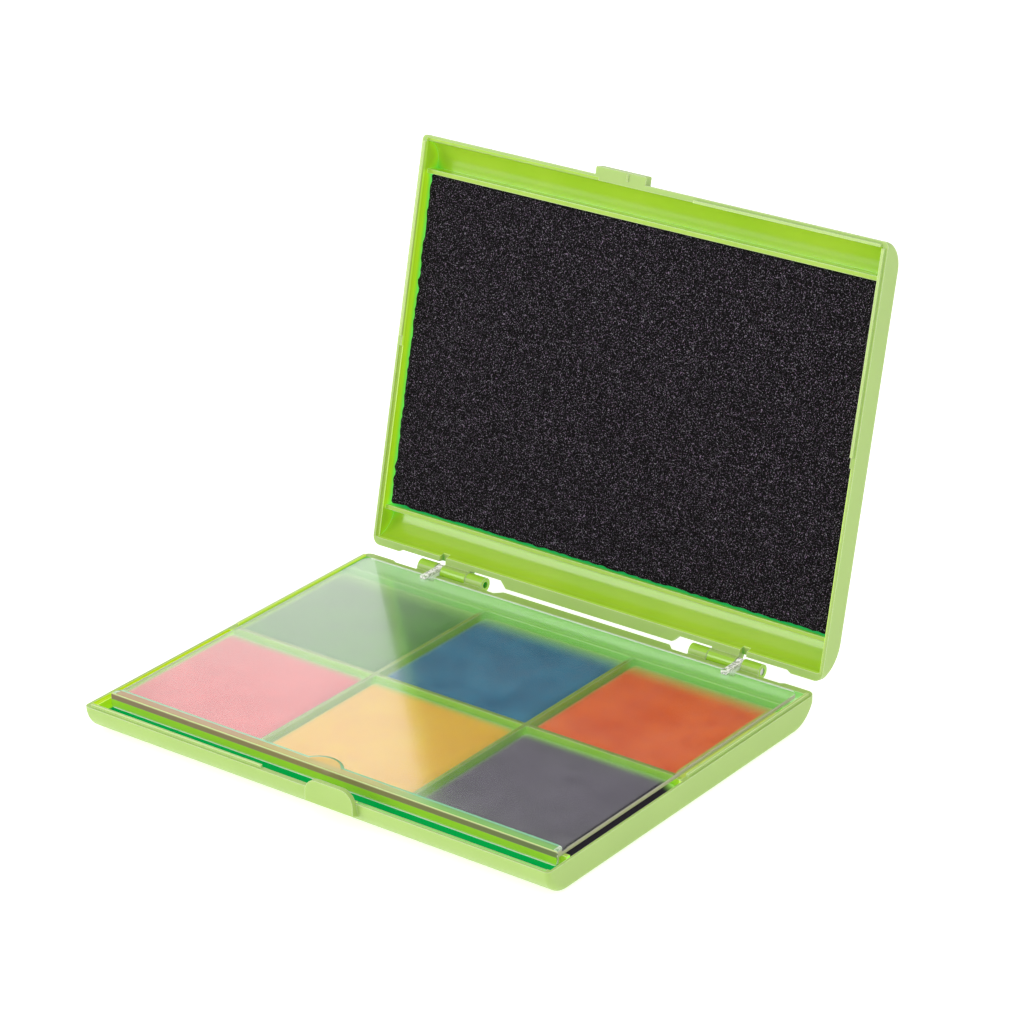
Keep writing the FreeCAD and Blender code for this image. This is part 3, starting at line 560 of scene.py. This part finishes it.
def cushion(name, low, high, corner, roll, drop, ragged=0.0, seed=0.0, step=0.7, ripple=0.05):
    """A closed soft block from low to high (mm), with a grid of faces about step across.

    Its upright corners are rounded by corner. Its top rolls off by drop within roll of its edge and
    swells and sinks by about ripple, and ragged is how far its outline strays.
    """
    width, depth = high[0] - low[0], high[1] - low[1]
    columns, rows = max(8, round(width / step)), max(8, round(depth / step))
    middle = ((low[0] + high[0]) / 2, (low[1] + high[1]) / 2)

    def crowded(k, n):
        """-1 to 1 as k goes from 0 to n, in steps that shorten towards the edges, where the roll is."""
        return math.sin(math.pi * (k / n - 0.5)) * 0.35 + (2 * k / n - 1) * 0.65

    def past_corner(x, y):
        """How far x and y are past the middle of the corner's rounding."""
        return abs(x) - (width / 2 - corner), abs(y) - (depth / 2 - corner)

    flat = []
    for j in range(rows + 1):
        for i in range(columns + 1):
            x, y = crowded(i, columns) * width / 2, crowded(j, rows) * depth / 2
            over_x, over_y = past_corner(x, y)
            if over_x > 0 and over_y > 0:
                shrink = max(over_x, over_y) / math.hypot(over_x, over_y)
                x = math.copysign(width / 2 - corner + over_x * shrink, x)
                y = math.copysign(depth / 2 - corner + over_y * shrink, y)
            flat.append((x, y))

    def edge_distance(x, y):
        over_x, over_y = past_corner(x, y)
        if over_x > 0 and over_y > 0:
            return corner - math.hypot(over_x, over_y)
        return -max(over_x, over_y) + corner

    swell, tear = 9, 2.2  # the sizes of the top's waves and of the ragged edge's bites
    vertices = []
    for x, y in flat:
        away = max(0.0, edge_distance(x, y))
        fall = drop * max(0.0, 1 - away / roll) ** 2.2
        wave = ripple * noise.fractal(Vector((x / swell + seed, y / swell, seed * 3)), 1.0, 2.0, 3)
        wobble = ragged * noise.noise(Vector((x / tear + seed, y / tear, 7))) * max(0.0, 1 - away / 3)
        scale = 1 + wobble / max(width, depth) * 2
        vertices.append((middle[0] + x * scale, middle[1] + y * scale, high[2] - fall + wave))
    top = len(vertices)
    for x, y in flat:
        away = max(0.0, edge_distance(x, y))
        tuck = 1 - 0.5 * max(0.0, 1 - away / 2) / max(width, depth)
        vertices.append((middle[0] + x * tuck, middle[1] + y * tuck, low[2]))

    across = columns + 1
    faces = []
    for j in range(rows):
        for i in range(columns):
            a = j * across + i
            faces.append((a, a + 1, a + 1 + across, a + across))
            faces.append((top + a + across, top + a + 1 + across, top + a + 1, top + a))
    rim = list(range(columns))
    rim += [j * across + columns for j in range(rows)]
    rim += [rows * across + i for i in range(columns, 0, -1)]
    rim += [j * across for j in range(rows, 0, -1)]
    # two belts round the side, so that it bulges instead of standing flat
    belts = [rim]
    for share, bulge in ((0.35, 0.10), (0.75, 0.12)):
        belt = []
        for index in rim:
            upper, lower = Vector(vertices[index]), Vector(vertices[top + index])
            point = upper.lerp(lower, share)
            out = Vector((point.x - middle[0], point.y - middle[1], 0)).normalized()
            belt.append(len(vertices))
            vertices.append(point + out * bulge * (1 if ragged == 0 else 0.4))
        belts.append(belt)
    belts.append([top + index for index in rim])
    for upper, lower in zip(belts, belts[1:]):
        for k in range(len(rim)):
            after = (k + 1) % len(rim)
            faces.append((upper[k], lower[k], lower[after], upper[after]))
    mesh = bpy.data.meshes.new(name)
    mesh.from_pydata([Vector(vertex) * MM for vertex in vertices], [], faces)
    mesh.validate()
    mesh.shade_smooth()
    piece = bpy.data.objects.new(name, mesh)
    bpy.context.scene.collection.objects.link(piece)
    return piece


def span_of(node):
    """The node's lowest and highest corner, in mm."""
    low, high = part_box(node)
    return low / MM, high / MM


def finish_piece(piece, body, node, material):
    """Puts a soft piece on its body in the place of a CAD node."""
    piece.data.materials.append(material)
    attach(piece, body)
    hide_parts(node)


def set_material(node, material):
    data = frame["nodes"][node].data
    data.materials.clear()
    data.materials.append(material)


# ---------------------------------------------------------------- the object

# the lid tray is drawn floor down like the base, then turned over and opened
lid_joint = next(joint for joint in frame["record"]["behaviour"]["joints"] if joint["name"] == "lid_hinge")
hinge = Vector(lid_joint["pos_m"])
opening = math.radians(lid_joint["range_deg"][0])
turned_over = Matrix.Translation((0, 0, 2 * hinge.z)) @ Matrix.Rotation(math.pi, 4, "Y")
opened = Matrix.Translation(hinge) @ Matrix.Rotation(opening, 4, "X") @ Matrix.Translation(-hinge)
to_lid = opened @ turned_over

set_material("base_shell",
             lime_plastic("lime_plastic_base", 5.0, True, Matrix.Identity(4), BASE_WEB_TOP, 1.0))
set_material("lid_shell",
             lime_plastic("lime_plastic_lid", 3.5, False, to_lid.inverted(), LID_WEB_TOP, 0.0))
set_material("inner_cover", clear_plastic())
steel = wire_steel()
for node in ("hinge_pin_left", "hinge_pin_right"):
    set_material(node, steel)
tape = sticky_tape()
for node in ("pad_adhesive", "lid_foam_adhesive"):
    set_material(node, tape)

# each ink's colour where the cloth is drier and where it is wetter
INKS = {
    "green": ((0.098, 0.325, 0.032), (0.055, 0.215, 0.020)),
    "blue": ((0.012, 0.200, 0.345), (0.006, 0.118, 0.235)),
    "orange": ((0.920, 0.158, 0.002), (0.760, 0.085, 0.001)),
    "pink": ((0.850, 0.160, 0.170), (0.700, 0.090, 0.105)),
    "yellow": ((0.870, 0.520, 0.006), (0.800, 0.400, 0.002)),
    "violet": ((0.150, 0.127, 0.175), (0.100, 0.084, 0.122)),
}
felt_material = felt()
for order, (colour, (dry, wet)) in enumerate(INKS.items()):
    low, high = span_of("pad_cloth_" + colour)
    cloth = cushion("inked_pad_" + colour, low, high, corner=1.6, roll=3.4, drop=1.0, seed=order * 11.3)
    ink = inked_cloth("ink_" + colour, dry, wet, low, high, in_rear_row=low[1] > 0)
    finish_piece(cloth, "base", "pad_cloth_" + colour, ink)
    low, high = span_of("pad_core_" + colour)
    core_top = (high[0], high[1], high[2] - CLOTH_THICK)
    core = cushion("felt_core_" + colour, low, core_top, corner=1.6, roll=3.4, drop=1.1, seed=order * 7.1,
                   step=1.6)
    finish_piece(core, "base", "pad_core_" + colour, felt_material)

# the lid's foam is made flat in the lid tray's own frame, then turned over and opened with the lid
foam_mesh = frame["nodes"]["lid_foam"].data
foam_points = [to_lid.inverted() @ vertex.co / MM for vertex in foam_mesh.vertices]
foam_low = Vector([min(point[axis] for point in foam_points) for axis in range(3)])
foam_high = Vector([max(point[axis] for point in foam_points) for axis in range(3)])
foam = cushion("lid_foam_sheet", foam_low, foam_high, corner=0.9, roll=1.0, drop=0.5, ragged=0.7, seed=3.7,
               step=0.9, ripple=0.06)
foam.data.transform(to_lid)
finish_piece(foam, "lid", "lid_foam", black_foam())

# ---------------------------------------------------------------- stage, light and camera

FLOOR_HALF, FLOOR_HEIGHT = 4, -0.0002
round_the_floor = ((-1, -1), (1, -1), (1, 1), (-1, 1))
floor_corners = [(x * FLOOR_HALF, y * FLOOR_HALF, FLOOR_HEIGHT) for x, y in round_the_floor]
floor_mesh = bpy.data.meshes.new("floor")
floor_mesh.from_pydata(floor_corners, [], [(0, 1, 2, 3)])
floor = bpy.data.objects.new("floor", floor_mesh)
bpy.context.scene.collection.objects.link(floor)
floor_mesh.materials.append(paper_floor())

world = bpy.data.worlds.new("studio")
bpy.context.scene.world = world
world.use_nodes = True
backdrop = world.node_tree.nodes["Background"]
backdrop.inputs["Color"].default_value = (1.0, 1.0, 1.0, 1.0)
backdrop.inputs["Strength"].default_value = 0.95


def softbox(name, place, target, size, power):
    """A square lamp, size metres wide, that faces its target."""
    lamp = bpy.data.lights.new(name, "AREA")
    lamp.shape = "SQUARE"
    lamp.size = size
    lamp.energy = power
    holder = bpy.data.objects.new(name, lamp)
    holder.location = place
    holder.rotation_euler = (Vector(target) - Vector(place)).to_track_quat("-Z", "Y").to_euler()
    bpy.context.scene.collection.objects.link(holder)
    return lamp


softbox("key", (-0.62, -0.85, 0.50), (0, 0, 0.03), 0.5, 3.7)
# white panels behind, to the left, that light nothing and only show in reflections, as in the clear cover
PANELS = (((-0.53, 0.81, 0.44), 0.36, 0.07), ((-0.62, 0.745, 0.44), 0.28, 0.13))
for index, (place, size, power) in enumerate(PANELS):
    panel = softbox("panel_" + str(index), place, (0, 0, 0.01), size, power)
    panel.diffuse_factor = 0.0

CAMERA_PLACE = (0.55228, -0.69557, 0.46064)
AZIMUTH, ELEVATION, ROLL = (math.radians(angle) for angle in (37.36, 24.224, -0.754))
sideways, backwards = math.sin(AZIMUTH) * math.cos(ELEVATION), -math.cos(AZIMUTH) * math.cos(ELEVATION)
back = Vector((sideways, backwards, math.sin(ELEVATION)))
level = Vector((math.cos(AZIMUTH), math.sin(AZIMUTH), 0))
upright = back.cross(level)
right = level * math.cos(ROLL) + upright * math.sin(ROLL)
up = upright * math.cos(ROLL) - level * math.sin(ROLL)
lens = bpy.data.cameras.new("camera")
lens.sensor_width = 36.0
lens.lens = 134.95
lens.clip_start = 0.05
lens.clip_end = 20.0
camera = bpy.data.objects.new("camera", lens)
camera.matrix_world = Matrix.Translation(CAMERA_PLACE) @ Matrix((right, up, back)).transposed().to_4x4()
bpy.context.scene.collection.objects.link(camera)
bpy.context.scene.camera = camera
bpy.context.scene.view_settings.view_transform = "Standard"
